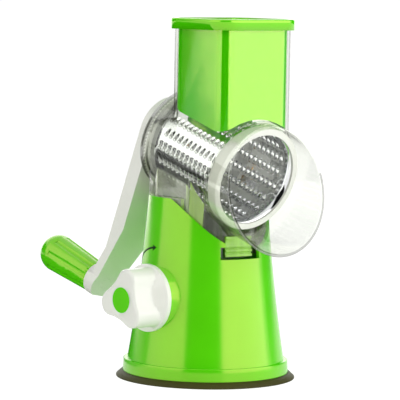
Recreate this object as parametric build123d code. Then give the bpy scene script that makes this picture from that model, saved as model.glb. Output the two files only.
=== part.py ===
from build123d import *
from math import asin, cos, hypot, pi, radians, sin, sqrt, tan
import os

# Hand-cranked drum shredder. Millimetres, +Z up, origin at the middle of the
# suction pad's flat underside. The mouth faces -Y, the crank is at +Y and the
# suction knob is at -X.

# ---------------------------------------------------------------- clearances
slip = 0.3               # loose faces that slide past each other
running = 0.08           # radial gap of a shaft in its bearing
seat = 0.05              # radial gap of a piece fixed in its seat
overrun = 1.0            # how far a cutter passes the face that it cuts

# ---------------------------------------------------------------- base
pad_radius = 71.1        # rim of the rubber pad on the table
pad_top_radius = 66.7
pad_height = 4.7
pad_skin = 2.6           # thickness of the flexing middle
pad_lip = 0.8            # upright part of the rim
pad_boss_radius = 13.0
pad_boss_height = 10.5
band_radius = 65.3       # plain band between the pad and the body
band_bore = 55.0
band_height = 9.9
body_foot_radius = 62.2
body_waist_radius = 53.2
body_neck_radius = 47.0
body_wall = 2.5
ear_top = 144.5          # height of the two ears beside the tube
saddle_radius = 55.0     # cradle cut in the top of the body, round the drum axis
floor_thickness = 3.0    # plate inside the base that guides the pull stem
guide_height = 17.0
guide_wall = 3.0
screw_circle = 49.0      # radius on which the four floor screws sit
screw_radius = 1.5
screw_head_radius = 3.0
screw_head_height = 2.0
screw_length = 12.0
post_radius = 4.2
screw_count = 4

# ---------------------------------------------------------------- suction knob
knob_height = 66.7       # height of the knob's axis
knob_seat = 58.8         # distance of the round seat's face from the middle
knob_seat_radius = 24.6
knob_radius = 26.6
knob_flange = 4.2
knob_front = 88.4        # distance of the knob's front face from the middle
knob_wall = 3.0
lobe_reach = 25.2        # tip of a lobe from the knob's axis
lobe_radius = 10.0
lobe_valley = 16.0
lobe_turn = 73.0         # angle of the first lobe, seen from outside
knob_edge = 2.4
cap_radius = 10.0
cap_height = 1.8
cap_proud = 0.5
lock_shaft_radius = 5.0
lock_bush_wall = 2.6
lock_bush_collar = 2.0
cam_throw = 2.83         # offset of the cam disc from the shaft
cam_radius = 9.4
cam_width = 8.0
cam_play = 0.2           # gap between the cam and the yoke's flats
yoke_wall = 4.0
stem_radius = 4.0
stem_foot_radius = 8.5
stem_foot_height = 2.5
pedestal_thickness = 5.0
pedestal_gap = 3.5       # from the yoke to the pedestal that carries the shaft's end
knob_screw_radius = 2.0
knob_screw_head_radius = 4.0
knob_screw_head_height = 3.0
knob_screw_length = 14.0

# ---------------------------------------------------------------- drum housing
tube_tilt = 17.24        # the drum's front end is the lower one
tube_back_y = 32.6       # middle of the tube's back rim
tube_back_z = 188.2
tube_radius = 41.6
tube_wall = 2.0
back_wall = 3.0
rim_radius = 42.6        # raised rim round the tube's back end
rim_width = 5.0
shoulder_start = 79.5    # along the drum axis, from the back rim
shoulder_length = 3.0
bell_radius = 45.1
bell_wall = 1.6
mouth_radius = 50.8
mouth_reach = 117.3      # middle of the mouth, along the drum axis
mouth_drop = 0.3         # and how far it lies under that axis
mouth_tilt = 9.6         # the mouth looks up by this angle
mouth_bead = 1.3
hopper_half_width = 38.5
hopper_half_depth = 33.5
hopper_middle_y = -25.5
hopper_corner = 14.0
hopper_wall = 2.2
hopper_top = 276.5
neck_radius = 46.7       # clear foot between the tube and the base
neck_half_width = 40.6
neck_wall = 2.2
spigot_bottom = 97.0     # lower end of the foot, inside the base
bearing_radius = 13.5    # boss on the back wall that holds the bush
bearing_length = 4.8
bush_radius = 9.0
bush_collar_radius = 12.0
bush_collar = 0.8

# ---------------------------------------------------------------- release tab
latch_turn = -9.2        # the latch sits this far round from the mouth's middle
notch_bottom = 98.3
notch_step = 107.9       # the notch is wider below this height
notch_half_angle = 20.6
notch_upper_half_angle = 15.9
tab_bottom = 100.2
tab_hinge_z = 114.6
tab_hinge_radius = 1.5
tab_thickness = 2.3
tab_half_angle = 15.0
tab_recess = 0.4         # tab face inside the neck's outer face
rib_proud = 1.1
rib_height = 1.9
rib_pitch = 3.6
rib_count = 3

# ---------------------------------------------------------------- drum
drum_radius = 37.6
drum_skin = 0.6
drum_start = 7.0         # back edge of the sheet, along the drum axis
drum_end = 91.0
hole_radius = 1.75
hole_pitch = 5.4
holes_in_row = 12
row_count = 20
first_hole = 17.0
ring_radius = 42.0
ring_start = 84.0
ring_end = 93.2
ring_sleeve = 4.0        # thin sleeve behind the ring's flange
ring_sleeve_wall = 0.9
drum_lip = 0.9           # rim of the back disc, outside the sheet
disc_start = 4.6
disc_thickness = 3.2
disc_hub_radius = 13.0
disc_hub_end = 16.0
disc_rib_count = 6
disc_rib_width = 2.0
insert_radius = 8.5

# ---------------------------------------------------------------- crank
crank_rest = 11.5        # arm hangs this far from straight down, towards -X
crank_length = 137.5
arm_gap = 7.0            # from the tube's back rim to the arm
arm_thickness = 14.0
arm_hub_radius = 27.5
arm_tip_radius = 12.0
arm_bevel_start = 86.0   # beyond this the arm's front slopes back, clear of the pusher's lid
arm_tip_front = 25.0     # front face's distance from the back rim at the arm's far end
arm_swell_start = 106.0  # beyond this the arm's back swells into the grip's boss
arm_swell = 6.0
arm_boss_radius = 13.6
arm_edge = 1.2
shaft_radius = 6.0
shaft_tip_radius = 3.5
shaft_tip_length = 9.0
nut_radius = 8.0
nut_height = 6.0
crank_screw_radius = 2.5
crank_screw_length = 16.0
crank_screw_head_radius = 5.0
crank_screw_head_height = 3.0
crank_cap_radius = 11.0
crank_cap_height = 2.2
grip_start = 34.0        # grip's inner face, behind the back rim
grip_length = 67.5
grip_inner_radius = 12.9
grip_end_radius = 15.5
grip_bore_depth = 48.0
flute_count = 8
flute_radius = 3.4
flute_depth = 0.9
pin_radius = 4.0

# ---------------------------------------------------------------- pusher
pusher_gap = 0.6         # between the pusher and the hopper's inside
pusher_wall = 2.2
pusher_above_drum = 7.0  # lowest middle of the pusher over the drum's sheet
pusher_arch = 64.0       # radius of the hollow under the pusher
lid_overhang = 3.0
lid_height = 8.5
lid_plate = 3.0
lid_dish = 1.0           # depth of the panel in the lid's top
lid_border = 5.0
lid_edge = 1.4
plug_depth = 7.0         # rim under the lid that plugs into the pusher

# ---------------------------------------------------------------- frames
tilt = radians(tube_tilt)
forward = Vector(0, -cos(tilt), -sin(tilt))
drum_frame = Plane(origin=(0, tube_back_y, tube_back_z), x_dir=(1, 0, 0), z_dir=forward)
mouth_normal = (0, -cos(radians(mouth_tilt)), sin(radians(mouth_tilt)))
mouth_middle = drum_frame.from_local_coords(Vector(0, -mouth_drop, mouth_reach))
mouth_frame = Plane(origin=mouth_middle, x_dir=(1, 0, 0), z_dir=mouth_normal)
knob_frame = Plane(origin=(0, 0, knob_height), x_dir=(0, -1, 0), z_dir=(-1, 0, 0))
latch_frame = Plane(Location((0, 0, 0), (0, 0, latch_turn)))
arm_frame = drum_frame.location * Location((0, 0, 0), (0, 0, -crank_rest))

band_top = pad_height + band_height
body_middle_z = (band_top + ear_top) / 2
floor_top = band_top + floor_thickness


def turned(points):
    """Solid of revolution about Z from (radius, height) corners."""
    return revolve(Plane.XZ * make_face(Polyline(*points, close=True)), Axis.Z)


def rod(radius, start, end):
    """Cylinder along Z from start to end."""
    return Pos(0, 0, start) * Cylinder(radius, end - start, align=(Align.CENTER, Align.CENTER, Align.MIN))


def tube(radius, bore, start, end):
    """Tube along Z from start to end."""
    return rod(radius, start, end) - rod(bore, start - overrun, end + overrun)


def slab(x0, x1, y0, y1, z0, z1):
    """Block between two corners."""
    return Pos(x0, y0, z0) * Box(x1 - x0, y1 - y0, z1 - z0, align=(Align.MIN, Align.MIN, Align.MIN))


def wedge(half_angle, reach, z0, z1):
    """Triangular block from the Z axis towards -Y, half_angle degrees each side."""
    side = reach * tan(radians(half_angle))
    return Pos(0, 0, z0) * extrude(make_face(Polyline((0, 0), (-side, -reach), (side, -reach), close=True)), z1 - z0)


def rounded_block(half_x, half_y, corner, z0, z1):
    """Upright block with rounded corners, centred on the hopper."""
    outline = Pos(0, hopper_middle_y, z0) * RectangleRounded(2 * half_x, 2 * half_y, corner)
    return extrude(outline, z1 - z0)


# ---------------------------------------------------------------- base pieces
def body_profile(inset, z0, z1):
    """Solid inside the body's curved side, inset from its outer face."""
    low = (body_foot_radius - inset, band_top)
    middle = (body_waist_radius - inset, body_middle_z)
    high = (body_neck_radius - inset, ear_top)
    side = ThreePointArc(low, middle, high)
    rest = Polyline(high, (0, ear_top), (0, band_top), low)
    solid = revolve(Plane.XZ * make_face(side + rest), Axis.Z)
    return solid & rod(2 * body_foot_radius, z0, z1)


def saddle(radius):
    """Cylinder round the drum axis, long enough to cross the whole base."""
    reach = 3 * body_foot_radius
    return drum_frame.location * rod(radius, -reach, reach)


def make_base_body():
    seat_disc = knob_frame.location * rod(knob_seat_radius, 0, knob_seat)
    outer = body_profile(0, band_top, ear_top) + seat_disc
    body = outer - body_profile(body_wall, band_top - overrun, ear_top + overrun)
    body -= saddle(saddle_radius)
    body -= rod(body_foot_radius - body_wall, band_top - overrun, floor_top)
    body -= knob_frame.location * rod(lock_shaft_radius + lock_bush_wall + seat, 0, knob_seat + overrun)
    lower = wedge(notch_half_angle, 2 * body_foot_radius, notch_bottom, notch_step)
    upper = wedge(notch_upper_half_angle, 2 * body_foot_radius, notch_bottom, ear_top)
    body -= latch_frame.location * (lower + upper)
    inside = body_profile(body_wall / 2, band_top, ear_top)
    for spot in screw_spots():
        post = spot * rod(post_radius, floor_top, floor_top + screw_length)
        web = spot * slab(0, body_foot_radius - screw_circle, -body_wall / 2, body_wall / 2,
                          floor_top, floor_top + screw_length)
        body += (post + web) & inside
        body -= spot * rod(screw_radius + seat, floor_top - overrun, floor_top + screw_length - overrun)
    return body


def screw_spots():
    """Places of the floor screws, local +X pointing outwards."""
    places = PolarLocations(screw_circle, screw_count, start_angle=180 / screw_count)
    return list(places)


def make_base_ring():
    chamfer = 0.5
    outer = [(band_bore, pad_height), (band_radius + chamfer, pad_height),
             (band_radius, band_top - chamfer), (band_radius - chamfer, band_top), (band_bore, band_top)]
    return turned(outer)


def make_suction_pad():
    rim = [(0, 0), (pad_radius, 0), (pad_radius, pad_lip), (pad_top_radius, pad_height),
           (band_bore, pad_height), (band_bore - pad_skin, pad_skin), (0, pad_skin)]
    pocket_floor = pad_skin / 2
    pocket_top = pocket_floor + stem_foot_height + 2 * slip
    pad = turned(rim) + rod(pad_boss_radius, 0, pad_boss_height)
    pad -= rod(stem_foot_radius + slip, pocket_floor, pocket_top)
    return pad - rod(stem_radius + slip, pocket_floor, pad_boss_height + overrun)


def make_bottom_plate():
    plate = rod(body_foot_radius - body_wall - slip, band_top, floor_top)
    guide_top = floor_top + guide_height
    plate += rod(stem_radius + guide_wall, band_top, guide_top)
    plate -= rod(stem_radius + running, band_top - overrun, guide_top + overrun)
    near = cam_width / 2 + pedestal_gap
    wide = lock_shaft_radius + pedestal_thickness
    plate += slab(near, near + pedestal_thickness, -wide, wide, floor_top, knob_height)
    plate += slab(near, near + pedestal_thickness + wide, -body_wall / 2, body_wall / 2, floor_top, knob_height / 2)
    plate += knob_frame.location * rod(wide, -near - pedestal_thickness, -near)
    plate -= knob_frame.location * rod(lock_shaft_radius + running, -near - pedestal_thickness - overrun, -near + overrun)
    for spot in screw_spots():
        plate -= spot * rod(screw_radius + seat, band_top - overrun, floor_top + overrun)
    return plate


def make_plate_screws():
    screws = []
    for spot in screw_spots():
        shank = rod(screw_radius, band_top, floor_top + screw_length - 2 * overrun)
        head = rod(screw_head_radius, band_top - screw_head_height, band_top)
        slot = slab(-screw_head_radius, screw_head_radius, -0.4, 0.4, band_top - screw_head_height - overrun,
                    band_top - screw_head_height / 2)
        screws.append(spot * (shank + head - slot))
    return Compound(children=[Part(s.wrapped) for s in screws])


# ---------------------------------------------------------------- suction knob pieces
def lobed_outline():
    """Three round lobes joined by hollow arcs, all tangent."""
    centre = lobe_reach - lobe_radius
    hollow = ((lobe_radius ** 2 + centre * lobe_valley - centre ** 2 - lobe_valley ** 2)
              / (2 * lobe_valley - centre - 2 * lobe_radius))
    far = lobe_valley + hollow
    edges = []
    for k in range(3):
        tip = radians(lobe_turn + 120 * k)
        before = tip - pi / 3
        after = tip + pi / 3
        lobe = Vector(centre * cos(tip), centre * sin(tip))
        touch = []
        for side in (before, after):
            toward = (Vector(far * cos(side), far * sin(side)) - lobe).normalized()
            touch.append(lobe + toward * lobe_radius)
        edges.append(ThreePointArc(touch[0], Vector(lobe_reach * cos(tip), lobe_reach * sin(tip)), touch[1]))
        following = tip + 2 * pi / 3
        next_lobe = Vector(centre * cos(following), centre * sin(following))
        toward = (Vector(far * cos(after), far * sin(after)) - next_lobe).normalized()
        start = next_lobe + toward * lobe_radius
        edges.append(ThreePointArc(touch[1], Vector(lobe_valley * cos(after), lobe_valley * sin(after)), start))
    return make_face(Wire(edges))


def make_lock_knob():
    back = knob_seat + slip
    dome = back + 3 * knob_flange
    flange = turned([(0, back), (knob_radius, back), (knob_radius, back + knob_flange),
                     (lobe_valley, dome), (0, dome)])
    flange = fillet(flange.edges().filter_by(GeomType.CIRCLE).group_by(SortBy.RADIUS)[-1], 1.2)
    grip = Pos(0, 0, back + knob_flange / 2) * extrude(lobed_outline(), knob_front - back - knob_flange / 2)
    grip = fillet(grip.faces().sort_by(Axis.Z)[-1].edges(), knob_edge)
    knob = flange + grip
    knob -= rod(cap_radius + seat, knob_front - cap_height, knob_front + overrun)
    knob -= rod(knob_screw_head_radius + slip, knob_front - cap_height - knob_screw_head_height, knob_front)
    socket_end = knob_front - cap_height - knob_screw_head_height - knob_wall
    knob -= rod(lock_shaft_radius + seat, back - overrun, socket_end)
    knob -= rod(knob_screw_radius + slip, back, knob_front)
    return knob_frame.location * knob


def make_knob_cap():
    bottom = knob_front - cap_height
    cap = rod(cap_radius, bottom, knob_front + cap_proud)
    return knob_frame.location * fillet(cap.edges().sort_by(Axis.Z)[-1], cap_proud * 0.9)


def make_knob_screw():
    under_cap = knob_front - cap_height
    head_bottom = under_cap - knob_screw_head_height
    screw = rod(knob_screw_head_radius, head_bottom, under_cap - slip)
    screw += rod(knob_screw_radius, head_bottom - knob_screw_length, head_bottom)
    screw -= slab(-0.5, 0.5, -knob_screw_head_radius, knob_screw_head_radius, under_cap - 1.5, under_cap)
    return knob_frame.location * screw


def make_lock_shaft():
    end = cam_width / 2 + pedestal_gap + pedestal_thickness
    outer = knob_front - cap_height - knob_screw_head_height - knob_wall
    shaft = rod(lock_shaft_radius, -end, outer)
    drill = outer - knob_screw_length
    shaft -= rod(knob_screw_radius + seat, drill, outer + overrun)
    return knob_frame.location * shaft


def make_lock_cam():
    # The cam's middle starts 45 degrees under the shaft's level, at +Y, and
    # ends 45 degrees over it, which lifts it by the stroke.
    offset = cam_throw * cos(radians(45))
    disc = Pos(-offset, -offset, 0) * rod(cam_radius, -cam_width / 2, cam_width / 2)
    return knob_frame.location * (disc - rod(lock_shaft_radius + seat, -cam_width, cam_width))


def make_lock_bush():
    inner_face = body_waist_radius - body_wall - knob_height / 10
    bore = lock_shaft_radius + running
    bush = tube(lock_shaft_radius + lock_bush_wall, bore, inner_face - lock_bush_collar, knob_seat)
    collar = tube(lock_shaft_radius + 2 * lock_bush_wall, bore, inner_face - 2 * lock_bush_collar,
                  inner_face - lock_bush_collar)
    return knob_frame.location * (bush + collar)


cam_middle_z = knob_height - cam_throw * cos(radians(45))
yoke_bottom = cam_middle_z - cam_radius - cam_play - yoke_wall
pull_foot_z = pad_skin / 2 + slip


def make_pull_yoke():
    half_window = cam_radius + cam_throw + 2 * cam_play
    half_height = cam_radius + cam_play
    outer = slab(-cam_width / 2, cam_width / 2, -half_window - yoke_wall, half_window + yoke_wall,
                 yoke_bottom, cam_middle_z + half_height + yoke_wall)
    window = slab(-cam_width, cam_width, -half_window, half_window,
                  cam_middle_z - half_height, cam_middle_z + half_height)
    yoke = fillet((outer - window).edges().filter_by(Axis.X).group_by(Axis.Z)[0], yoke_wall / 2)
    socket = rod(stem_radius + seat, yoke_bottom - overrun, cam_middle_z - cam_radius - cam_play - yoke_wall / 2)
    return yoke - socket


def make_pull_stem():
    stem = rod(stem_radius, pull_foot_z, yoke_bottom + yoke_wall / 2)
    return stem + rod(stem_foot_radius, pull_foot_z, pull_foot_z + stem_foot_height)


# ---------------------------------------------------------------- drum housing
def bell(radius, mouth, start):
    """Funnel from a round section on the drum axis to the back of the mouth's bead."""
    near = drum_frame.location * Pos(0, 0, start) * Circle(radius)
    far = mouth_frame.location * Pos(0, 0, -mouth_bead) * Circle(mouth)
    return loft([near.face(), far.face()], ruled=True)


def make_drum_housing():
    shoulder_end = shoulder_start + shoulder_length
    outer = turned([(0, 0), (rim_radius, 0), (rim_radius, rim_width - 1), (tube_radius, rim_width),
                    (tube_radius, shoulder_start), (bell_radius, shoulder_end), (0, shoulder_end)])
    outer += rod(bearing_radius, -bearing_length, 0)
    outer = drum_frame.location * outer + bell(bell_radius, mouth_radius - mouth_bead / 2, shoulder_end)
    outer += mouth_frame.location * fillet(rod(mouth_radius, -mouth_bead, 0).edges(), mouth_bead / 4)
    tube_bore = tube_radius - tube_wall
    bell_bore = bell_radius - bell_wall
    hollow = turned([(0, back_wall), (tube_bore, back_wall), (tube_bore, shoulder_start + bell_wall / 2),
                     (bell_bore, shoulder_end + bell_wall / 2), (0, shoulder_end + bell_wall / 2)])
    hollow = drum_frame.location * hollow
    mouth_bore = mouth_radius - mouth_bead / 2 - bell_wall
    hollow += bell(bell_bore, mouth_bore, shoulder_end + bell_wall / 2)
    hollow += mouth_frame.location * rod(mouth_bore, -mouth_bead, mouth_bead)

    # Hopper, from the drum axis up to its open top.
    upper_half = drum_frame.location * slab(-2 * tube_radius, 2 * tube_radius, 0, 3 * hopper_top,
                                            -2 * tube_radius, 2 * mouth_reach)
    bottom = tube_back_z - tube_radius
    hopper = rounded_block(hopper_half_width, hopper_half_depth, hopper_corner, bottom, hopper_top) & upper_half
    throat = rounded_block(hopper_half_width - hopper_wall, hopper_half_depth - hopper_wall,
                           hopper_corner - hopper_wall, bottom, hopper_top + overrun) & upper_half

    # Foot that plugs into the base, open below.
    tube_solid = saddle(tube_radius)
    lower_half = drum_frame.location * slab(-2 * tube_radius, 2 * tube_radius, -3 * hopper_top, 0,
                                            -2 * tube_radius, 2 * mouth_reach)
    spigot_radius = body_neck_radius - body_wall - slip
    plug = rod(spigot_radius, spigot_bottom, ear_top)
    flare = rod(neck_radius, spigot_bottom, tube_back_z) & saddle(saddle_radius - slip)
    sides = slab(-neck_half_width, neck_half_width, -neck_radius, neck_radius, spigot_bottom, tube_back_z)
    foot = (plug + (flare & sides)) & lower_half
    core_side = neck_half_width - neck_wall
    core = rod(spigot_radius - neck_wall, spigot_bottom - overrun, tube_back_z)
    core &= slab(-core_side, core_side, -neck_radius, neck_radius, spigot_bottom - overrun, tube_back_z)
    foot -= core
    window_half = tab_half_angle + 1.5
    foot -= latch_frame.location * wedge(window_half, 2 * neck_radius, spigot_bottom + neck_wall,
                                         tab_hinge_z + tab_hinge_radius + seat)
    foot -= tube_solid

    housing = outer + (hopper - throat) + foot
    housing -= hollow
    housing -= throat & saddle(tube_radius + overrun)
    housing -= drum_frame.location * rod(bush_radius + seat, -bearing_length - overrun, back_wall + overrun)
    return housing


def make_rear_bush():
    bore = shaft_radius + running
    bush = tube(bush_radius, bore, -bearing_length, back_wall)
    bush += tube(bush_collar_radius, bore, back_wall, back_wall + bush_collar)
    return drum_frame.location * bush


def make_release_tab():
    outer_radius = neck_radius - tab_recess
    inner_radius = outer_radius - tab_thickness
    plate = tube(outer_radius, inner_radius, tab_bottom, tab_hinge_z)
    for k in range(rib_count):
        low = tab_bottom + rib_pitch * k
        plate += tube(outer_radius + rib_proud, inner_radius, low, low + rib_height)
    plate &= wedge(tab_half_angle, 2 * neck_radius, tab_bottom, tab_hinge_z)
    half_chord = (inner_radius + outer_radius) / 2 * sin(radians(tab_half_angle))
    barrel = rod(tab_hinge_radius, -half_chord, half_chord)
    barrel = Plane(origin=tab_hinge_point(), x_dir=(0, 0, 1), z_dir=(1, 0, 0)).location * barrel
    return latch_frame.location * (plate + barrel)


def tab_hinge_point():
    """Middle of the tab's hinge line, in the latch frame."""
    outer_radius = neck_radius - tab_recess
    mid_chord = (outer_radius - tab_thickness / 2) * (1 + cos(radians(tab_half_angle))) / 2
    return (0, -mid_chord, tab_hinge_z)


# ---------------------------------------------------------------- drum and crank
def make_drum_shell():
    shell = tube(drum_radius, drum_radius - drum_skin, drum_start, drum_end)
    cutters = []
    for row in range(row_count // 2):
        shift = hole_pitch / 2 if row % 2 else 0
        for k in range(holes_in_row):
            punch = Rot(0, 90, 0) * Cylinder(hole_radius, 2 * drum_radius + 2 * overrun)
            cutters.append(Rot(0, 0, 360 * row / row_count) * Pos(0, 0, first_hole + shift + hole_pitch * k) * punch)
    return drum_frame.location * (shell - cutters)


def make_drum_front_ring():
    sleeve_bore = drum_radius + seat
    ring = turned([(sleeve_bore, ring_start - ring_sleeve), (sleeve_bore + ring_sleeve_wall, ring_start - ring_sleeve),
                   (sleeve_bore + ring_sleeve_wall, ring_start), (ring_radius, ring_start),
                   (ring_radius, ring_end), (drum_radius - drum_skin, ring_end),
                   (drum_radius - drum_skin, drum_end), (sleeve_bore, drum_end)])
    outer_edges = ring.edges().filter_by(GeomType.CIRCLE).group_by(SortBy.RADIUS)[-1]
    return drum_frame.location * fillet(outer_edges, 1.0)


def make_drum_rear_disc():
    disc_end = disc_start + disc_thickness
    inner = drum_radius - drum_skin - seat
    disc = turned([(0, disc_start), (drum_radius + drum_lip, disc_start), (drum_radius + drum_lip, drum_start),
                   (inner, drum_start), (inner, disc_end + disc_thickness), (inner - disc_thickness, disc_end),
                   (0, disc_end)])
    disc += rod(disc_hub_radius, disc_start, disc_hub_end)
    for k in range(disc_rib_count):
        rib = slab(disc_hub_radius - 1, inner - 1, -disc_rib_width / 2, disc_rib_width / 2, disc_end,
                   disc_end + disc_thickness)
        disc += Rot(0, 0, 360 * k / disc_rib_count) * rib
    return drum_frame.location * (disc - rod(insert_radius + seat, disc_start - overrun, disc_hub_end + overrun))


def make_hub_insert():
    return drum_frame.location * tube(insert_radius, shaft_radius + seat, disc_start, disc_hub_end)


def make_crank_shaft():
    back = arm_gap + arm_thickness - crank_cap_height - crank_screw_head_height
    shaft = rod(shaft_radius, -back, disc_hub_end)
    shaft += rod(shaft_tip_radius, disc_hub_end, disc_hub_end + shaft_tip_length)
    shaft -= rod(crank_screw_radius + seat, -back - overrun, -back + crank_screw_length)
    return drum_frame.location * shaft


def make_drum_nut():
    nut = extrude(RegularPolygon(nut_radius, 6), nut_height)
    nut = Pos(0, 0, disc_hub_end) * nut
    return drum_frame.location * (nut - rod(shaft_tip_radius + seat, disc_hub_end - overrun, disc_hub_end + 2 * nut_height))


def arm_outline():
    """Hub and tip circles joined by their outer tangents, tip towards -Y."""
    lean = asin((arm_hub_radius - arm_tip_radius) / crank_length)
    hub_x, hub_y = arm_hub_radius * cos(lean), -arm_hub_radius * sin(lean)
    tip_x, tip_y = arm_tip_radius * cos(lean), -crank_length - arm_tip_radius * sin(lean)
    near_side = Line((hub_x, hub_y), (tip_x, tip_y))
    tip = ThreePointArc((tip_x, tip_y), (0, -crank_length - arm_tip_radius), (-tip_x, tip_y))
    far_side = Line((-tip_x, tip_y), (-hub_x, hub_y))
    hub = ThreePointArc((-hub_x, hub_y), (0, arm_hub_radius), (hub_x, hub_y))
    return make_face(Wire([near_side, tip, far_side, hub]))


def arm_side(back_faces):
    """Space behind the arm's front faces, in the arm frame, closed by back_faces."""
    end = crank_length + arm_tip_radius
    outline = [(-arm_hub_radius, -arm_gap), (arm_bevel_start, -arm_gap), (end, -arm_tip_front)] + back_faces
    side = make_face(Polyline(*outline, close=True))
    width = 2 * arm_hub_radius
    return Plane(origin=(width / 2, 0, 0), x_dir=(0, -1, 0), z_dir=(-1, 0, 0)).location * extrude(side, width)


def make_crank_arm():
    back = arm_gap + arm_thickness
    end = crank_length + arm_tip_radius
    boss_end = grip_start - slip
    bar = Pos(0, 0, -grip_start) * extrude(arm_outline(), grip_start)
    bar &= arm_side([(end, -back - arm_swell), (crank_length - arm_tip_radius, -back - arm_swell),
                     (arm_swell_start, -back), (-arm_hub_radius, -back)])
    boss = Pos(0, -crank_length, 0) * rod(arm_boss_radius, -boss_end, -arm_gap)
    bar += boss & arm_side([(end, -grip_start), (-arm_hub_radius, -grip_start)])
    bar += rod(bush_collar_radius, -arm_gap - arm_edge, -bearing_length - slip)
    bar -= rod(crank_cap_radius + seat, -back - overrun, -back + crank_cap_height)
    bar -= rod(crank_screw_head_radius + slip, -back, -back + crank_cap_height + crank_screw_head_height)
    bar -= rod(shaft_radius + seat, -back + crank_cap_height + crank_screw_head_height, 0)
    bar -= Pos(0, -crank_length, 0) * rod(pin_radius + seat, -grip_start, 0)
    return arm_frame * bar


def make_crank_screw():
    head_back = arm_gap + arm_thickness - crank_cap_height
    head_front = head_back - crank_screw_head_height
    screw = rod(crank_screw_head_radius, -head_back, -head_front)
    screw += rod(crank_screw_radius, -head_front, -head_front + crank_screw_length - overrun)
    screw -= slab(-0.6, 0.6, -crank_screw_head_radius, crank_screw_head_radius, -head_back - overrun, -head_back + 1.2)
    return arm_frame * screw


def make_crank_cap():
    back = arm_gap + arm_thickness
    cap = rod(crank_cap_radius, -back - cap_proud, -back + crank_cap_height)
    return arm_frame * fillet(cap.edges().sort_by(Axis.Z)[0], cap_proud * 0.9)


grip_frame = arm_frame * Location((0, -crank_length, -grip_start), (180, 0, 0))


def make_grip_pin():
    bevel = (arm_tip_front - arm_gap) / (crank_length + arm_tip_radius - arm_bevel_start)
    front = arm_gap + bevel * (crank_length + pin_radius - arm_bevel_start)
    pin = rod(pin_radius, front - grip_start + slip, grip_bore_depth - overrun)
    return grip_frame * pin


def make_grip_handle():
    dome = grip_length - grip_end_radius
    side = Line((grip_inner_radius, 0), (grip_end_radius, dome))
    end = CenterArc((0, dome), grip_end_radius, 0, 90)
    rest = Polyline((0, grip_length), (0, 0), (grip_inner_radius, 0))
    grip = revolve(Plane.XZ * make_face(Wire([side, end] + rest.edges())), Axis.Z)
    slope = asin((grip_end_radius - grip_inner_radius) / hypot(dome, grip_end_radius - grip_inner_radius))
    for k in range(flute_count):
        place = grip_inner_radius + flute_radius - flute_depth
        flute = Pos(place, 0, 0) * Rot(0, slope * 180 / pi, 0) * rod(flute_radius, -overrun, dome - flute_radius)
        grip -= Rot(0, 0, 360 * k / flute_count) * flute
    grip -= rod(pin_radius + running, -overrun, grip_bore_depth)
    return grip_frame * grip


# ---------------------------------------------------------------- pusher
pusher_half_x = hopper_half_width - hopper_wall - pusher_gap
pusher_half_y = hopper_half_depth - hopper_wall - pusher_gap
pusher_corner = hopper_corner - hopper_wall - pusher_gap


def make_pusher_body():
    bottom = tube_back_z - tube_radius
    outer = rounded_block(pusher_half_x, pusher_half_y, pusher_corner, bottom, hopper_top)
    inner = rounded_block(pusher_half_x - pusher_wall, pusher_half_y - pusher_wall, pusher_corner - pusher_wall,
                          bottom, hopper_top + overrun)
    crown = drum_radius + pusher_above_drum
    arch_middle = crown - pusher_arch
    far = 3 * tube_radius
    arch = drum_frame.location * Pos(0, arch_middle, 0) * rod(pusher_arch, -far, far)
    under = drum_frame.location * slab(-far, far, -far, arch_middle, -far, far)
    thick_arch = drum_frame.location * Pos(0, arch_middle, 0) * rod(pusher_arch + pusher_wall, -far, far)
    return outer - arch - under - (inner - thick_arch - under)


def make_pusher_lid():
    half_x = hopper_half_width + lid_overhang
    half_y = hopper_half_depth + lid_overhang
    corner = hopper_corner + lid_overhang
    lid_top = hopper_top + lid_height
    lid = rounded_block(half_x, half_y, corner, hopper_top, lid_top)
    lid = fillet(lid.faces().sort_by(Axis.Z)[-1].edges(), lid_edge)
    lid -= rounded_block(half_x - lid_border, half_y - lid_border, corner - lid_border, lid_top - lid_dish,
                         lid_top + overrun)
    plug_x = pusher_half_x - pusher_wall - seat
    plug_y = pusher_half_y - pusher_wall - seat
    plug_corner = pusher_corner - pusher_wall - seat
    lid += rounded_block(plug_x, plug_y, plug_corner, hopper_top - plug_depth, hopper_top)
    pocket_top = lid_top - lid_dish - lid_plate
    return lid - rounded_block(plug_x - pusher_wall, plug_y - pusher_wall, plug_corner - pusher_wall,
                               hopper_top - plug_depth - overrun, pocket_top)


pieces = {
    "base_body": make_base_body,
    "base_ring": make_base_ring,
    "suction_pad": make_suction_pad,
    "bottom_plate": make_bottom_plate,
    "plate_screws": make_plate_screws,
    "lock_bush": make_lock_bush,
    "lock_knob": make_lock_knob,
    "knob_cap": make_knob_cap,
    "knob_screw": make_knob_screw,
    "lock_shaft": make_lock_shaft,
    "lock_cam": make_lock_cam,
    "pull_yoke": make_pull_yoke,
    "pull_stem": make_pull_stem,
    "drum_housing": make_drum_housing,
    "rear_bush": make_rear_bush,
    "release_tab": make_release_tab,
    "drum_shell": make_drum_shell,
    "drum_front_ring": make_drum_front_ring,
    "drum_rear_disc": make_drum_rear_disc,
    "hub_insert": make_hub_insert,
    "drum_nut": make_drum_nut,
    "crank_shaft": make_crank_shaft,
    "crank_arm": make_crank_arm,
    "crank_screw": make_crank_screw,
    "crank_cap": make_crank_cap,
    "grip_pin": make_grip_pin,
    "grip_handle": make_grip_handle,
    "pusher_body": make_pusher_body,
    "pusher_lid": make_pusher_lid,
}

os.makedirs("parts", exist_ok=True)
for node, make in pieces.items():
    export_step(make(), f"parts/{node}.step")
    print("wrote", node)

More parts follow.
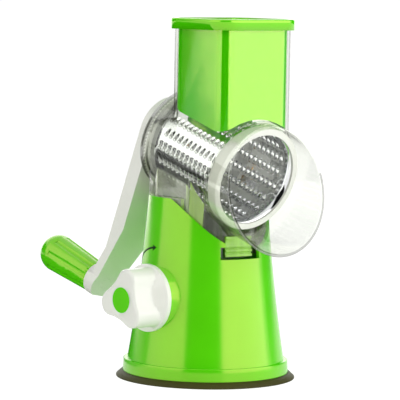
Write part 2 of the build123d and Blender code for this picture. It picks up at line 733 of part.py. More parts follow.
hinge = latch_frame.from_local_coords(Vector(*tab_hinge_point()))
grip_axis = grip_frame.position
print("drum axis through", (0, tube_back_y, tube_back_z), "pointing back", (0, cos(tilt), sin(tilt)))
print("grip axis through", tuple(round(v, 3) for v in grip_axis))
print("tab hinge through", tuple(round(v, 3) for v in hinge))
print("pad stroke", round(2 * cam_throw * cos(radians(45)), 3))
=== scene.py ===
from math import atan2, cos, hypot, pi, radians, sin, sqrt, tan

import bmesh
import bpy
import numpy as np
from mathutils import Matrix, Vector


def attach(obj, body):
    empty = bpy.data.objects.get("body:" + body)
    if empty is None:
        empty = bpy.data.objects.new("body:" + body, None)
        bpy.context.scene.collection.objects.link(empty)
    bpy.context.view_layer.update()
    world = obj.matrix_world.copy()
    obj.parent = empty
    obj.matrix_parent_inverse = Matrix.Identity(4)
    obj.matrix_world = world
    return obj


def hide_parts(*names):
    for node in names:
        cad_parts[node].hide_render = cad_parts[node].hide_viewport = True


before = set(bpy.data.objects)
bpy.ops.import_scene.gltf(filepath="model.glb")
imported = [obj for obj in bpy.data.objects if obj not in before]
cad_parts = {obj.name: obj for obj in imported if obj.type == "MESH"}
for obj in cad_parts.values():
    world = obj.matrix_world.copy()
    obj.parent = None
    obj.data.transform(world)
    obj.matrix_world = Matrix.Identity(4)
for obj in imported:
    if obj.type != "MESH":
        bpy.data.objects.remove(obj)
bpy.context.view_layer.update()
mm = 0.001  # every size below is in millimetres

# The drum's axis, from the middle of the tube's back rim towards the mouth.
drum = {"backY": 32.6, "backZ": 188.2, "tilt": 17.24}
tilt = radians(drum["tilt"])
drumOrigin = Vector((0, drum["backY"], drum["backZ"]))
drumForward = Vector((0, -cos(tilt), -sin(tilt)))
drumUp = Vector((0, -sin(tilt), cos(tilt)))


# ---- small helpers
def linear(hexColour):
    channels = []
    for k in (1, 3, 5):
        value = int(hexColour[k:k + 2], 16) / 255
        channels.append(value / 12.92 if value <= 0.04045 else ((value + 0.055) / 1.055) ** 2.4)
    return (*channels, 1)


def addNode(tree, kind, inputs=None, **settings):
    node = tree.nodes.new(kind)
    for name, value in settings.items():
        setattr(node, name, value)
    for name, value in (inputs or {}).items():
        socket = node.inputs[name]
        if isinstance(value, bpy.types.NodeSocket):
            tree.links.new(value, socket)
        else:
            socket.default_value = value
    return node


def newMaterial(name):
    material = bpy.data.materials.new(name)
    material.use_nodes = True
    tree = material.node_tree
    tree.nodes.clear()
    output = addNode(tree, "ShaderNodeOutputMaterial")
    return material, tree, output


def rowSpace(tree):
    return addNode(tree, "ShaderNodeTexCoord").outputs["Object"]


def perMetre(size):
    return 1 / (size * mm)


# ---- materials
def mouldedPlastic(name, colour, roughness, ior=1.5, level=0.5, tint="#FFFFFF", mottle=0.04, glow=0):
    # Injection-moulded plastic: near-even colour, a faint flow mottle and a very slight waviness in its gloss.
    material, tree, output = newMaterial(name)
    place = rowSpace(tree)
    mottleAndPaintedStreaks = addNode(tree, "ShaderNodeTexNoise", {"Vector": place, "Scale": perMetre(38), "Detail": 2})
    shade = addNode(tree, "ShaderNodeMapRange", {"Value": mottleAndPaintedStreaks.outputs["Fac"], "From Min": 0.3, "From Max": 0.7,
                                                 "To Min": 1 - mottle, "To Max": 1 + mottle})
    colourNode = addNode(tree, "ShaderNodeVectorMath", {0: linear(colour)[:3], 1: shade.outputs["Result"]},
                         operation="MULTIPLY")
    wave = addNode(tree, "ShaderNodeTexNoise", {"Vector": place, "Scale": perMetre(9), "Detail": 1})
    bump = addNode(tree, "ShaderNodeBump", {"Height": wave.outputs["Fac"], "Strength": 0.02, "Distance": 0.4 * mm})
    grain = addNode(tree, "ShaderNodeTexNoise", {"Vector": place, "Scale": perMetre(1.5), "Detail": 3})
    rough = addNode(tree, "ShaderNodeMapRange", {"Value": grain.outputs["Fac"], "To Min": roughness * 0.8,
                                                 "To Max": roughness * 1.25})
    shader = addNode(tree, "ShaderNodeBsdfPrincipled",
                     {"Base Color": colourNode.outputs["Vector"], "Roughness": rough.outputs["Result"],
                      "Normal": bump.outputs["Normal"], "IOR": ior, "Specular IOR Level": level,
                      "Specular Tint": linear(tint)})
    if glow:
        shader.inputs["Subsurface Weight"].default_value = glow
        shader.inputs["Subsurface Radius"].default_value = (1, 1, 1)
        shader.inputs["Subsurface Scale"].default_value = 2 * mm
    tree.links.new(shader.outputs["BSDF"], output.inputs["Surface"])
    return material


def clearPlastic(name, solidColour, edgePower, edgeDark, least=0.0, streak=0.0, shineMost=0.13):
    # Clear moulded SAN: a wall is seen straight through, its edges go a painted olive grey where the eye looks
    # along it, and a share of the solid colour with upright streaks can be painted over the face-on wall.
    material, tree, output = newMaterial(name)
    place = rowSpace(tree)
    wave = addNode(tree, "ShaderNodeTexNoise", {"Vector": place, "Scale": perMetre(22), "Detail": 1})
    bump = addNode(tree, "ShaderNodeBump", {"Height": wave.outputs["Fac"], "Strength": 0.05, "Distance": 0.3 * mm})
    see = addNode(tree, "ShaderNodeBsdfTransparent", {"Color": linear("#FDFEFB")})
    edgeOn = addNode(tree, "ShaderNodeBsdfPrincipled",
                     {"Base Color": linear(solidColour), "Roughness": 0.2, "IOR": 1.5})
    facing = addNode(tree, "ShaderNodeLayerWeight", {"Blend": 0.5})
    steep = addNode(tree, "ShaderNodeMath", {0: facing.outputs["Facing"], 1: edgePower}, operation="POWER")
    upright = addNode(tree, "ShaderNodeMapping", {"Vector": place, "Scale": (1, 1, 0.05)})
    # Upright streaks in the painted share of solid colour; on the foot they are painted highlights.
    mottleAndPaintedStreaks = addNode(tree, "ShaderNodeTexNoise", {"Vector": upright.outputs["Vector"], "Scale": perMetre(6),
                                                "Detail": 2})
    base = addNode(tree, "ShaderNodeMapRange", {"Value": mottleAndPaintedStreaks.outputs["Fac"], "From Min": 0.35, "From Max": 0.65,
                                                "To Min": least, "To Max": least + streak})
    dark = addNode(tree, "ShaderNodeMapRange", {"Value": steep.outputs["Value"], "To Min": base.outputs["Result"],
                                                "To Max": edgeDark})
    body = addNode(tree, "ShaderNodeMixShader", {0: dark.outputs["Result"], 1: see.outputs["BSDF"],
                                                 2: edgeOn.outputs["BSDF"]})
    shine = addNode(tree, "ShaderNodeBsdfGlossy", {"Color": linear("#FFFFFF"), "Roughness": 0.03,
                                                   "Normal": bump.outputs["Normal"]})
    fresnel = addNode(tree, "ShaderNodeFresnel", {"IOR": 1.49, "Normal": bump.outputs["Normal"]})
    share = addNode(tree, "ShaderNodeMath", {0: fresnel.outputs["Fac"], 1: shineMost}, operation="MINIMUM")
    mix = addNode(tree, "ShaderNodeMixShader", {0: share.outputs["Value"], 1: body.outputs["Shader"],
                                                2: shine.outputs["BSDF"]})
    tree.links.new(mix.outputs["Shader"], output.inputs["Surface"])
    return material


def stampedStainless():
    # Thin stainless sheet, rolled and then bright-dipped: fine lines along the roll and a soft mirror.
    material, tree, output = newMaterial("stampedStainlessSheet")
    place = rowSpace(tree)
    along = addNode(tree, "ShaderNodeMapping", {"Vector": place, "Scale": (1, 0.06, 0.06)})
    lines = addNode(tree, "ShaderNodeTexNoise", {"Vector": along.outputs["Vector"], "Scale": perMetre(0.8),
                                                 "Detail": 3})
    rough = addNode(tree, "ShaderNodeMapRange", {"Value": lines.outputs["Fac"], "To Min": 0.06, "To Max": 0.13})
    bump = addNode(tree, "ShaderNodeBump",
                   {"Height": lines.outputs["Fac"], "Strength": 0.08, "Distance": 0.05 * mm})
    shader = addNode(tree, "ShaderNodeBsdfPrincipled",
                     {"Base Color": linear("#E4E5E6"), "Metallic": 1.0, "Roughness": rough.outputs["Result"],
                      "Normal": bump.outputs["Normal"]})
    tree.links.new(shader.outputs["BSDF"], output.inputs["Surface"])
    return material


def turnedMetal(name, colour, roughness):
    # Turned and plated metal: bright, with faint tool rings.
    material, tree, output = newMaterial(name)
    place = rowSpace(tree)
    rings = addNode(tree, "ShaderNodeTexNoise", {"Vector": place, "Scale": perMetre(0.7), "Detail": 2})
    bump = addNode(tree, "ShaderNodeBump",
                   {"Height": rings.outputs["Fac"], "Strength": 0.1, "Distance": 0.05 * mm})
    shader = addNode(tree, "ShaderNodeBsdfPrincipled",
                     {"Base Color": linear(colour), "Metallic": 1.0, "Roughness": roughness,
                      "Normal": bump.outputs["Normal"]})
    tree.links.new(shader.outputs["BSDF"], output.inputs["Surface"])
    return material


def softPvc():
    # Soft moulded PVC pad: dark, with a faint matte grain. The dark is its own colour; its olive tint is a painted
    # reflection of the green base.
    material, tree, output = newMaterial("softMouldedPvc")
    place = rowSpace(tree)
    grain = addNode(tree, "ShaderNodeTexNoise", {"Vector": place, "Scale": perMetre(1.2), "Detail": 4})
    tone = addNode(tree, "ShaderNodeMapRange", {"Value": grain.outputs["Fac"], "To Min": 0.85, "To Max": 1.15})
    colour = addNode(tree, "ShaderNodeVectorMath", {0: linear("#3E3D12")[:3], 1: tone.outputs["Result"]},
                     operation="MULTIPLY")
    bump = addNode(tree, "ShaderNodeBump",
                   {"Height": grain.outputs["Fac"], "Strength": 0.15, "Distance": 0.1 * mm})
    shader = addNode(tree, "ShaderNodeBsdfPrincipled",
                     {"Base Color": colour.outputs["Vector"], "Roughness": 0.55, "Specular IOR Level": 0.2,
                      "Normal": bump.outputs["Normal"]})
    tree.links.new(shader.outputs["BSDF"], output.inputs["Surface"])
    return material


def screenInk():
    # Screen-printed ink: thin, matte and nearly black green.
    material, tree, output = newMaterial("screenPrintInk")
    place = rowSpace(tree)
    grain = addNode(tree, "ShaderNodeTexNoise", {"Vector": place, "Scale": perMetre(0.6), "Detail": 2})
    rough = addNode(tree, "ShaderNodeMapRange", {"Value": grain.outputs["Fac"], "To Min": 0.45, "To Max": 0.6})
    shader = addNode(tree, "ShaderNodeBsdfPrincipled",
                     {"Base Color": linear("#0B3005"), "Roughness": rough.outputs["Result"],
                      "Specular IOR Level": 0.15})
    tree.links.new(shader.outputs["BSDF"], output.inputs["Surface"])
    return material


# The gloss of the green ABS is raised and tinted, because its light bands go yellow-green and not white.
greenAbs = mouldedPlastic("greenGlossAbs", "#54DF01", 0.18, ior=1.7, level=1.0, tint="#FFC288")
pusherAbs = mouldedPlastic("pusherGlossAbs", "#48D602", 0.07, ior=1.95, level=1.0, tint="#E8F178")
buttonAbs = mouldedPlastic("greenSatinAbs", "#56DA02", 0.35, ior=1.5, level=0.25, tint="#FFD28A")
whiteAbs = mouldedPlastic("whiteGlossAbs", "#F1F2E9", 0.2, mottle=0.01, glow=0.1)
greyNylon = mouldedPlastic("naturalNylon", "#D8D8D0", 0.4, mottle=0.02)
clearSan = clearPlastic("clearMouldedSan", "#34381F", 5.0, 0.85, shineMost=0.05)
hopperSan = clearPlastic("clearSanHopper", "#34381F", 4.0, 0.95, shineMost=0.015)
# Cut ends and rims of the clear moulding get a painted dark olive grey, standing in for light trapped inside the
# wall.
rimSan = clearPlastic("clearSanRim", "#2E3024", 1.5, 0.9, least=0.45)
# The foot inside the base is seen through several walls; a painted pale share with painted grey upright highlight
# streaks covers the dark inside of the base.
footSan = clearPlastic("clearSanFoot", "#C3CFA2", 3.0, 0.9, least=0.55, streak=0.35)
# The tube's underside shows the bright floor through two walls, so it gets a painted pale grey in place of that
# light.
underSan = clearPlastic("clearSanUnderside", "#E2E4D6", 3.0, 0.9, least=0.5, streak=0.1)
# The foot's front wall gets a painted green reflection of the base around it.
footFrontSan = clearPlastic("clearSanFootFront", "#A6CC5C", 3.0, 0.9, least=0.6, streak=0.3)
# The flared mouth gathers light from the floor, so its steep parts get a painted paleness and are paler than the
# tube.
bellSan = clearPlastic("clearSanBell", "#7E8468", 4.0, 0.8)
# The flat sides over the foot get a thin painted pale veil over the dark inside of the base, with the drum showing
# through them.
sideSan = clearPlastic("clearSanSides", "#C6D0AE", 3.0, 0.9, least=0.22, streak=0.2)
tabSan = clearPlastic("clearSanTab", "#A4E43C", 2.0, 0.95, least=0.7, streak=0.2)
stainless = stampedStainless()
platedSteel = turnedMetal("zincPlatedSteel", "#D0D0CE", 0.2)
turnedBrass = turnedMetal("turnedBrass", "#D9A441", 0.22)
pvc = softPvc()
ink = screenInk()
print("materials made")


# ---- pieces
def link(name, mesh, body, material, replaced=(), extras=()):
    piece = bpy.data.objects.new(name, mesh)
    bpy.context.scene.collection.objects.link(piece)
    for one in (material, *extras):
        piece.data.materials.append(one)
    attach(piece, body)
    if replaced:
        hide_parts(*replaced)
    return piece


def finishMesh(name, form, sharpAngle=30):
    mesh = bpy.data.meshes.new(name)
    for face in form.faces:
        face.smooth = True
    form.to_mesh(mesh)
    form.free()
    mesh.set_sharp_from_angle(angle=radians(sharpAngle))
    return mesh


skinning = {"weld": 0.004, "flatWeight": 100}
# The fillets of these nodes have uneven triangles, which shade evenly without weighted normals.
blended = ("base_body",)


def skin(node, name, body, material, change=None):
    # A welded copy of the moulded form, so that its curved faces shade as one surface.
    form = bmesh.new()
    form.from_mesh(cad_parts[node].data)
    bmesh.ops.remove_doubles(form, verts=form.verts, dist=skinning["weld"] * mm)
    for layer in list(form.loops.layers.uv):
        form.loops.layers.uv.remove(layer)
    for face in form.faces:
        face.material_index = 0
    extras = change(form) if change else []
    piece = link(name, finishMesh(name, form), body, material, [node], extras)
    if node not in blended:
        flat = piece.modifiers.new("flatFacesStayFlat", "WEIGHTED_NORMAL")
        flat.keep_sharp = True
        flat.weight = skinning["flatWeight"]
        flat.mode = "FACE_AREA_WITH_ANGLE"
    return piece


skins = {
    "base_body": ("baseShell", "base", "green_plastic", greenAbs),
    "base_ring": ("baseBand", "base", "green_plastic", greenAbs),
    "suction_pad": ("suctionPad", "base", "grey_rubber", pvc),
    "lock_knob": ("suctionKnob", "lock", "white_plastic", whiteAbs),
    "knob_cap": ("knobButton", "lock", "green_plastic", buttonAbs),
    "drum_housing": ("clearHousing", "housing", "clear_plastic", clearSan),
    "release_tab": ("releaseTab", "latch", "clear_plastic", tabSan),
    "drum_front_ring": ("drumRing", "rotor", "white_plastic", whiteAbs),
    "drum_rear_disc": ("drumDisc", "rotor", "white_plastic", whiteAbs),
    "crank_arm": ("crankArm", "rotor", "white_plastic", whiteAbs),
    "crank_cap": ("crankCap", "rotor", "green_plastic", buttonAbs),
    "grip_handle": ("crankHandle", "grip", "green_plastic", greenAbs),
    "pusher_body": ("pusherShell", "pusher", "pusher_plastic", pusherAbs),
    "pusher_lid": ("pusherLid", "pusher", "pusher_plastic", pusherAbs),
}

housing = {"foot": 43.2, "footTop": 150, "footFront": -8, "saddle": 100, "tubeEnd": 79, "rimAlong": 112,
           "hopperTop": 276, "hopperFoot": 212, "straight": 0.87, "flatSide": 0.95, "backRim": 5.5,
           "backRimInside": 42.2, "backRimOutside": 46, "underInside": 38.5, "underLow": 0.72}
housingPaintedLooks = {"wall": clearSan, "rim": rimSan, "foot": footSan, "hopper": hopperSan, "underside": underSan,
                   "footFront": footFrontSan, "bell": bellSan, "side": sideSan}


def housingPart(face):
    size = housing
    middle = face.calc_center_median() / mm
    reach = middle - drumOrigin
    along = reach.dot(drumForward)
    out = (reach - drumForward * along).length
    level = abs(face.normal.dot(drumForward))
    low = -reach.dot(drumUp) / max(out, 1e-6)
    inTube = along < size["tubeEnd"]
    if along > size["rimAlong"] and level > size["straight"]:
        return "rim"
    onBackRim = along < size["backRim"] and size["backRimInside"] < out < size["backRimOutside"]
    if onBackRim and middle.z > size["footTop"]:
        return "rim"
    if middle.z > size["hopperTop"] and face.normal.z > size["straight"]:
        return "rim"
    if inTube and middle.z < size["footTop"] and out > size["foot"]:
        if abs(face.normal.x) > size["flatSide"] and middle.z > size["saddle"]:
            return "side"
        return "footFront" if middle.y < size["footFront"] else "foot"
    if inTube and size["underInside"] < out < size["foot"] and low > size["underLow"]:
        return "underside"
    if along > size["tubeEnd"]:
        return "bell"
    return "hopper" if middle.z > size["hopperFoot"] else "wall"


def markHousing(form):
    # Each part of the clear moulding gets its own material, with its own painted light and shade.
    names, paintedLooks = list(housingPaintedLooks), list(housingPaintedLooks.values())
    for face in form.faces:
        face.material_index = names.index(housingPart(face))
    return paintedLooks[1:]


ear = {"height": 144.5, "heightSlack": 0.05, "round": 5, "steps": 4, "leastAngle": 25, "mostX": 44,
       "flatTop": 0.99, "inward": 0.2, "rising": 0.1}


def roundEars(form):
    # The ears' corners are rounded where the cradle meets their flat tops.
    corners = []
    for edge in form.edges:
        a, b = (vert.co / mm for vert in edge.verts)
        flat = min(a.z, b.z) > ear["height"] - ear["heightSlack"]
        sharp = edge.is_manifold and edge.calc_face_angle(0) > radians(ear["leastAngle"])
        if flat and sharp and min(abs(a.x), abs(b.x)) < ear["mostX"]:
            tops = [abs(face.normal.z) > ear["flatTop"] for face in edge.link_faces]
            sides = [face.normal.x * a.x < -ear["inward"] * abs(a.x) and face.normal.z > ear["rising"]
                     for face in edge.link_faces]
            if any(tops) and any(sides):
                corners.append(edge)
    print("ear corner edges", len(corners))
    bmesh.ops.bevel(form, geom=corners, offset=ear["round"] * mm, segments=ear["steps"], profile=0.5,
                    affect="EDGES", clamp_overlap=True)
    return []


wall = {"outward": 0.998, "leastRise": 0.03, "mostRise": 0.4, "degree": 3}


def roundWall(piece):
    # The body's wall is round, so its shading normals point straight away from the middle line at every corner.
    mesh = piece.data
    faces = []
    for face in mesh.polygons:
        middle = Vector((face.center.x, face.center.y, 0)).normalized()
        level = Vector((face.normal.x, face.normal.y, 0))
        sloping = wall["leastRise"] < face.normal.z < wall["mostRise"]
        if sloping and level.normalized().dot(middle) > wall["outward"]:
            faces.append(face)
    heights = [face.center.z / mm for face in faces]
    rises = [face.normal.z for face in faces]
    rise = np.polyfit(heights, rises, wall["degree"], w=[face.area for face in faces])
    normals = [corner.vector.copy() for corner in mesh.corner_normals]
    for face in faces:
        for corner in face.loop_indices:
            place = mesh.vertices[mesh.loops[corner].vertex_index].co
            up = float(np.polyval(rise, place.z / mm))
            out = Vector((place.x, place.y, 0)).normalized() * (1 - up * up) ** 0.5
            normals[corner] = Vector((out.x, out.y, up))
    mesh.normals_split_custom_set(normals)
    print("round wall faces", len(faces))


changes = {"drum_housing": markHousing, "base_body": roundEars}
# The glossy base shows only the studio, as behind a polarising filter, and not these pieces beside it.
keptOutOfGloss = ("lock_knob", "knob_cap", "crank_arm", "grip_handle")
# The knob's shadow would break up the light bands beside it.
castsNoShadow = ("lock_knob", "knob_cap")
for node, (name, body, slot, material) in skins.items():
    piece = skin(node, name, body, material, changes.get(node))
    if node == "base_body":
        roundWall(piece)
    piece.visible_glossy = node not in keptOutOfGloss
    piece.visible_shadow = node not in castsNoShadow

hidden = {
    "bottom_plate": greyNylon, "lock_bush": greyNylon, "lock_cam": greyNylon, "pull_yoke": greyNylon,
    "rear_bush": greyNylon, "plate_screws": platedSteel, "knob_screw": platedSteel, "lock_shaft": platedSteel,
    "pull_stem": platedSteel, "crank_shaft": platedSteel, "crank_screw": platedSteel, "drum_nut": platedSteel,
    "grip_pin": platedSteel, "hub_insert": turnedBrass,
}
for node, material in hidden.items():
    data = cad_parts[node].data
    data.materials.clear()
    data.materials.append(material)
print("moulded pieces dressed")

# A moulded plug closes the pin's hole in the sloping front of the arm.
crank = {"rest": 11.5, "length": 137.5, "frontGap": 7.0, "slopeStart": 86.0, "slope": 0.2835}
pinPlug = {"radius": 4.7, "proud": 0.25, "thickness": 0.8, "edge": 0.2, "steps": 40}


def armPoint(out, behind):
    turn = radians(crank["rest"])
    outward = Vector((-sin(turn), 0, 0)) - drumUp * cos(turn)
    return drumOrigin + outward * out - drumForward * behind, outward


def makePinPlug(size):
    behind = crank["frontGap"] + crank["slope"] * (crank["length"] - crank["slopeStart"])
    middle, outward = armPoint(crank["length"], behind)
    normal = (drumForward + outward * crank["slope"]).normalized()
    along = outward - normal * outward.dot(normal)
    along.normalize()
    across = normal.cross(along)
    form = bmesh.new()
    rings = []
    for radius, height in ((size["radius"], -size["thickness"]), (size["radius"], size["proud"] - size["edge"]),
                           (size["radius"] - size["edge"], size["proud"])):
        ring = []
        for k in range(size["steps"]):
            turn = 2 * pi * k / size["steps"]
            spot = middle + along * (radius * cos(turn)) + across * (radius * sin(turn)) + normal * height
            ring.append(form.verts.new(spot * mm))
        rings.append(ring)
    for low, high in zip(rings, rings[1:]):
        for k in range(size["steps"]):
            nextK = (k + 1) % size["steps"]
            form.faces.new((low[k], low[nextK], high[nextK], high[k]))
    form.faces.new(rings[0])
    form.faces.new(rings[-1])
    bmesh.ops.recalc_face_normals(form, faces=form.faces)
    plug = link("pinPlug", finishMesh("pinPlug", form), "rotor", whiteAbs)
    plug.visible_glossy = False


makePinPlug(pinPlug)
print("pin plug made")

sheetMetal = {"radius": 37.3, "thickness": 0.5, "back": 7.0, "front": 91.0, "rows": 20, "teeth": 12,
              "firstTooth": 17.0, "pitch": 5.4, "slotHalfLength": 2.5, "slotHalfWidth": 1.75, "toothHeight": 1.6,
              "hoodSteps": 3, "sideSteps": 6, "weld": 0.01, "sharpAngle": 40}


def drumPoint(turn, along, radius):
    place = drumOrigin + drumForward * along
    place = place + Vector((1, 0, 0)) * (radius * cos(turn)) + drumUp * (radius * sin(turn))
    return place * mm


def cellBorder(halfPitch, halfTurn, sideSteps):
    # Points round one tooth's patch of sheet: along the axis in two steps, round the drum in sideSteps.
    points = [(halfPitch, -halfTurn + 2 * halfTurn * k / sideSteps) for k in range(sideSteps)]
    points += [(halfPitch, halfTurn), (0, halfTurn)]
    points += [(-halfPitch, halfTurn - 2 * halfTurn * k / sideSteps) for k in range(sideSteps)]
    points += [(-halfPitch, -halfTurn), (0, -halfTurn)]
    return points


def drumSheet(size):
    form = bmesh.new()
    halfTurn = pi / size["rows"]
    halfPitch = size["pitch"] / 2
    border = cellBorder(halfPitch, halfTurn, size["sideSteps"])
    radius = size["radius"]
    slotTurn = size["slotHalfLength"] / radius

    def point(turn, along, lift=0.0):
        return form.verts.new(drumPoint(turn, along, radius + lift))

    for row in range(size["rows"]):
        middle = 2 * halfTurn * row
        shift = halfPitch if row % 2 else 0
        for k in range(size["teeth"]):
            along = size["firstTooth"] + shift + size["pitch"] * k
            outer = [point(middle + turn, along + step) for step, turn in border]
            rim = []
            for step, turn in border:
                angle = atan2(turn / halfTurn, step / halfPitch)
                rim.append((size["slotHalfWidth"] * cos(angle), slotTurn * sin(angle)))
            inner = [point(middle + turn, along + step) for step, turn in rim]
            count = len(border)
            for j in range(count):
                nextJ = (j + 1) % count
                form.faces.new((outer[j], outer[nextJ], inner[nextJ], inner[j]))
            # The hood stands over the leading half of the slot, highest at its cutting edge.
            hood = [j for j in range(count) if rim[j][1] >= -1e-9]
            hood.sort(key=lambda j: -rim[j][0])
            previous = [inner[j] for j in hood]
            for level in range(1, size["hoodSteps"] + 1):
                share = level / size["hoodSteps"]
                line = []
                for j in hood:
                    step, turn = rim[j]
                    arch = sqrt(max(0, 1 - (step / size["slotHalfWidth"]) ** 2))
                    lift = size["toothHeight"] * sin(share * pi / 2) * arch
                    line.append(point(middle + turn * (1 - share), along + step, lift))
                for j in range(len(hood) - 1):
                    form.faces.new((previous[j], previous[j + 1], line[j + 1], line[j]))
                previous = line
        # Plain bands between the teeth and the sheet's two edges.
        starts = [size["back"], size["firstTooth"] - halfPitch] + ([size["firstTooth"]] if row % 2 else [])
        last = size["firstTooth"] + size["pitch"] * (size["teeth"] - 1)
        ends = ([] if row % 2 else [last + halfPitch]) + [last + 2 * halfPitch, size["front"]]
        for stations in (starts, ends):
            columns = []
            sideSteps = size["sideSteps"]
            for along in stations:
                turns = [middle - halfTurn + 2 * halfTurn * k / sideSteps for k in range(sideSteps + 1)]
                columns.append([point(turn, along) for turn in turns])
            for left, right in zip(columns, columns[1:]):
                for k in range(sideSteps):
                    form.faces.new((left[k], left[k + 1], right[k + 1], right[k]))
    bmesh.ops.remove_doubles(form, verts=form.verts, dist=size["weld"] * mm)
    bmesh.ops.recalc_face_normals(form, faces=form.faces)
    mesh = finishMesh("drumSheet", form, size["sharpAngle"])
    piece = link("drumSheet", mesh, "rotor", stainless, ["drum_shell"])
    solid = piece.modifiers.new("sheetThickness", "SOLIDIFY")
    solid.thickness = size["thickness"] * mm
    solid.offset = 0


drumSheet(sheetMetal)
print("drum sheet with its teeth made")

# The printed arrow lies on the base's curved side, which narrows upwards.
baseSide = {"footZ": 14.6, "topZ": 144.5, "footRadius": 62.2, "middleRadius": 53.2, "topRadius": 47.0}
arrow = {"startTurn": 138, "tipTurn": 176.5, "startZ": 91.5, "bendZ": 104.5, "tipZ": 105.2, "width": 1.5,
         "headLength": 4.6, "headWidth": 5.0, "wingBack": 0.03, "proud": 0.12, "thickness": 0.1, "steps": 20,
         "slopeStep": 0.001}


def sideRadius(z):
    share = (z - baseSide["footZ"]) / (baseSide["topZ"] - baseSide["footZ"])
    low = (share - 0.5) * (share - 1) * 2
    middle = -4 * share * (share - 1)
    high = share * (share - 0.5) * 2
    return low * baseSide["footRadius"] + middle * baseSide["middleRadius"] + high * baseSide["topRadius"]


def printedArrow(size):
    form = bmesh.new()

    def onSide(turn, z):
        radius = sideRadius(z) + size["proud"]
        return form.verts.new(Vector((radius * cos(turn), radius * sin(turn), z)) * mm)

    def centre(share):
        turn = radians(size["startTurn"] + (size["tipTurn"] - size["startTurn"]) * share)
        z = size["startZ"] * (1 - share) ** 2 + 2 * size["bendZ"] * share * (1 - share) + size["tipZ"] * share ** 2
        return turn, z

    def across(share, half):
        turn, z = centre(share)
        turnNext, zNext = centre(share + size["slopeStep"])
        radius = sideRadius(z)
        run, rise = (turnNext - turn) * radius, zNext - z
        length = hypot(run, rise)
        return (turn - rise / length * half / radius, z + run / length * half)

    total = sideRadius(size["tipZ"]) * radians(size["tipTurn"] - size["startTurn"])
    neck = 1 - size["headLength"] / total
    rails = []
    for k in range(size["steps"] + 1):
        share = neck * k / size["steps"]
        rails.append([onSide(*across(share, side * size["width"] / 2)) for side in (-1, 1)])
    for (a, b), (c, d) in zip(rails, rails[1:]):
        form.faces.new((a, c, d, b))
    wings = [onSide(*across(neck - size["wingBack"], side * size["headWidth"] / 2)) for side in (-1, 1)]
    tip = onSide(*centre(1))
    form.faces.new((wings[0], tip, rails[-1][0]))
    form.faces.new((rails[-1][0], tip, rails[-1][1]))
    form.faces.new((rails[-1][1], tip, wings[1]))
    bmesh.ops.recalc_face_normals(form, faces=form.faces)
    piece = link("turnArrow", finishMesh("turnArrow", form), "base", ink)
    solid = piece.modifiers.new("inkThickness", "SOLIDIFY")
    solid.thickness = size["thickness"] * mm


printedArrow(arrow)
print("printed arrow made")

# ---- studio
studio = {"worldFill": 0.48, "floorSize": 60, "cameraGlow": 0.93, "cameraDiffuse": 0.22}
camera = {"turn": -41.65, "distance": 2070.27, "height": 323.01, "focalPixels": 2619.08, "framePixels": 400,
          "sensor": 36, "yaw": 0.18, "pitch": -5.04, "roll": 1.01, "clipEnd": 200}
# Each softbox spans a range of turns seen from the object, counted from the camera's side.
softboxes = {
    "rightSoftbox": {"turns": (24, 104), "height": 2600, "middle": 650, "distance": 1500, "level": 1.7},
    "leftSoftbox": {"turns": (-95.6, -31), "height": 1900, "middle": 1070, "distance": 1500, "level": 0.85},
    "backSoftbox": {"turns": (150, 230), "height": 1800, "middle": 800, "distance": 1900, "level": 0.9},
}
# Black cards give the gloss and the steel something dark to show. Only reflections see them.
darkCards = {
    "frontCard": {"turns": (-31, 24), "height": 3000, "middle": 500, "distance": 2600},
    "sideCardLeft": {"turns": (-145, -95.6), "height": 700, "middle": 420, "distance": 1500},
    "sideCardRight": {"turns": (112, 150), "height": 3000, "middle": 500, "distance": 1600},
}
# One more black card lies on the floor behind the tube, and the drum shows it as a dark band.
floorCard = {"near": 190, "far": 1300, "turns": (-185, -97), "height": 1}


def atTurn(turn, distance, z):
    angle = radians(camera["turn"] + turn)
    return Vector((sin(angle) * distance, -cos(angle) * distance, z)) * mm


def facing(source, target):
    return (target - source).to_track_quat("-Z", "Y").to_euler()


def panelSize(card):
    low, high = card["turns"]
    return 2 * card["distance"] * tan(radians((high - low) / 2)), (low + high) / 2


def addSoftbox(name, box):
    width, middleTurn = panelSize(box)
    data = bpy.data.lights.new(name, "AREA")
    data.shape = "RECTANGLE"
    data.size = width * mm
    data.size_y = box["height"] * mm
    data.energy = box["level"] * pi * data.size * data.size_y
    lamp = bpy.data.objects.new(name, data)
    lamp.location = atTurn(middleTurn, box["distance"], box["middle"])
    lamp.rotation_euler = facing(lamp.location, Vector((0, 0, box["middle"] * mm)))
    lamp.visible_camera = False
    bpy.context.scene.collection.objects.link(lamp)


def addPanel(name, corners, material):
    form = bmesh.new()
    form.faces.new([form.verts.new(corner) for corner in corners])
    mesh = bpy.data.meshes.new(name)
    form.to_mesh(mesh)
    form.free()
    panel = bpy.data.objects.new(name, mesh)
    panel.data.materials.append(material)
    panel.visible_camera = False
    panel.visible_diffuse = False
    panel.visible_transmission = False
    panel.visible_shadow = False
    bpy.context.scene.collection.objects.link(panel)


def addCard(name, card, material):
    width, middleTurn = panelSize(card)
    middle = atTurn(middleTurn, card["distance"], card["middle"])
    side = Vector((0, 0, 1)).cross(middle).normalized() * (width / 2 * mm)
    tall = Vector((0, 0, card["height"] / 2 * mm))
    left, right = middle - side, middle + side
    addPanel(name, [left - tall, right - tall, right + tall, left + tall], material)


def addFloorCard(card, material):
    low, high = card["turns"]
    nearLeft, nearRight = (atTurn(turn, card["near"], card["height"]) for turn in (low, high))
    farLeft, farRight = (atTurn(turn, card["far"], card["height"]) for turn in (low, high))
    addPanel("floorCard", [nearLeft, nearRight, farRight, farLeft], material)


def blackCard():
    material, tree, output = newMaterial("blackCard")
    shader = addNode(tree, "ShaderNodeBsdfDiffuse", {"Color": linear("#1C1C1C")})
    tree.links.new(shader.outputs["BSDF"], output.inputs["Surface"])
    return material


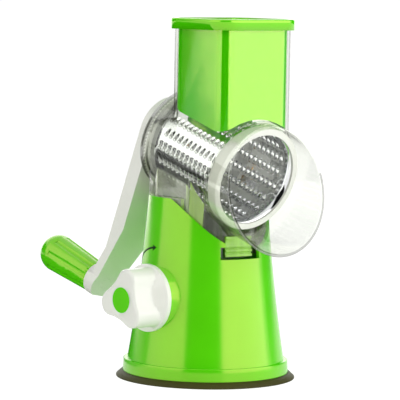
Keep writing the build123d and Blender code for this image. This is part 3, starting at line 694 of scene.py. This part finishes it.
def seenDirectly(tree):
    # 1 for the camera, for what is seen through clear walls and for mirror images, and 0 for diffuse light.
    path = addNode(tree, "ShaderNodeLightPath")
    seen = addNode(tree, "ShaderNodeMath",
                   {0: path.outputs["Is Camera Ray"], 1: path.outputs["Is Transmission Ray"]}, operation="MAXIMUM")
    seen = addNode(tree, "ShaderNodeMath", {0: seen.outputs["Value"], 1: path.outputs["Is Glossy Ray"]},
                   operation="MAXIMUM")
    return seen.outputs["Value"]


def paleFloor():
    material, tree, output = newMaterial("paleFloor")
    lit = addNode(tree, "ShaderNodeBsdfDiffuse", {"Color": linear("#F2F2F2")})
    faint = addNode(tree, "ShaderNodeBsdfDiffuse", {"Color": (studio["cameraDiffuse"],) * 3 + (1,)})
    glow = addNode(tree, "ShaderNodeEmission", {"Color": linear("#FFFFFF"), "Strength": studio["cameraGlow"]})
    shown = addNode(tree, "ShaderNodeAddShader", {0: faint.outputs["BSDF"], 1: glow.outputs["Emission"]})
    mix = addNode(tree, "ShaderNodeMixShader", {0: seenDirectly(tree), 1: lit.outputs["BSDF"],
                                                2: shown.outputs["Shader"]})
    tree.links.new(mix.outputs["Shader"], output.inputs["Surface"])
    return material


def addFloor():
    half = studio["floorSize"] / 2
    form = bmesh.new()
    corners = ((-half, -half, 0), (half, -half, 0), (half, half, 0), (-half, half, 0))
    form.faces.new([form.verts.new(corner) for corner in corners])
    mesh = bpy.data.meshes.new("floor")
    form.to_mesh(mesh)
    form.free()
    floor = bpy.data.objects.new("floor", mesh)
    floor.data.materials.append(paleFloor())
    bpy.context.scene.collection.objects.link(floor)


def setWorld():
    world = bpy.data.worlds.new("studioWorld")
    bpy.context.scene.world = world
    world.use_nodes = True
    tree = world.node_tree
    tree.nodes.clear()
    output = addNode(tree, "ShaderNodeOutputWorld")
    level = addNode(tree, "ShaderNodeMapRange", {"Value": seenDirectly(tree), "To Min": studio["worldFill"],
                                                 "To Max": 1.0})
    light = addNode(tree, "ShaderNodeBackground",
                    {"Color": linear("#FFFFFF"), "Strength": level.outputs["Result"]})
    tree.links.new(light.outputs["Background"], output.inputs["Surface"])


def addCamera():
    data = bpy.data.cameras.new("camera")
    data.sensor_width = camera["sensor"]
    data.lens = camera["focalPixels"] * camera["sensor"] / camera["framePixels"]
    data.clip_end = camera["clipEnd"]
    lens = bpy.data.objects.new("camera", data)
    yaw = radians(camera["turn"] + camera["yaw"])
    pitch = radians(camera["pitch"])
    roll = radians(camera["roll"])
    ahead = Vector((-sin(yaw) * cos(pitch), cos(yaw) * cos(pitch), sin(pitch)))
    right = ahead.cross(Vector((0, 0, 1))).normalized()
    up = right.cross(ahead)
    rolledRight = right * cos(roll) + up * sin(roll)
    rolledUp = up * cos(roll) - right * sin(roll)
    turned = Matrix((rolledRight, rolledUp, -ahead)).transposed().to_4x4()
    lens.matrix_world = Matrix.Translation(atTurn(0, camera["distance"], camera["height"])) @ turned
    bpy.context.scene.collection.objects.link(lens)
    bpy.context.scene.camera = lens


cardMaterial = blackCard()
for name, box in softboxes.items():
    addSoftbox(name, box)
for name, card in darkCards.items():
    addCard(name, card, cardMaterial)
addFloorCard(floorCard, cardMaterial)
addFloor()
setWorld()
addCamera()
bpy.context.scene.view_settings.view_transform = "Standard"
print("studio set")
